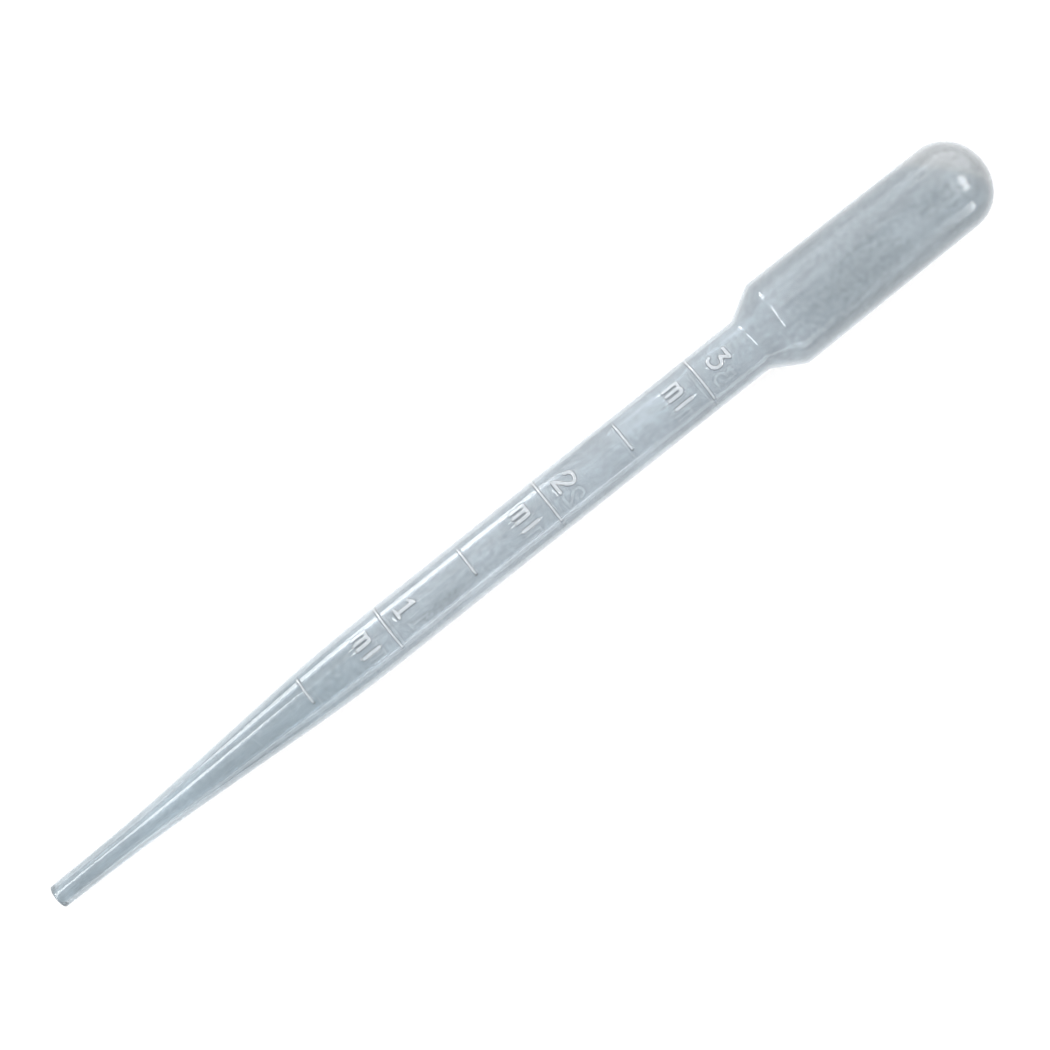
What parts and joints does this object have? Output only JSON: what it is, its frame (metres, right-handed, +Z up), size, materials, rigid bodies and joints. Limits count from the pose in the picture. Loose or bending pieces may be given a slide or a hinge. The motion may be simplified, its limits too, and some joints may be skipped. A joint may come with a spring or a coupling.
{
  "type": "plastic dropper pipette",
  "caption": "Semi-clear blow-moulded transfer pipette with a squeeze bulb, a graduated stem and a drawn tip, for moving small amounts of liquid.",
  "frame": {"origin": "on the table, at the centre of the part's bounding box as it lies", "axes": "+Z up; +X along the table from the mouth of the tip to the end of the bulb"},
  "size_m": [0.155, 0.0132, 0.0139],
  "materials": {
    "clear_polyethylene": "semi-clear, milky, soft sheen"
  },
  "bodies": {
    "root": {"pipette_body": "clear_polyethylene"}
  },
  "joints": []
}
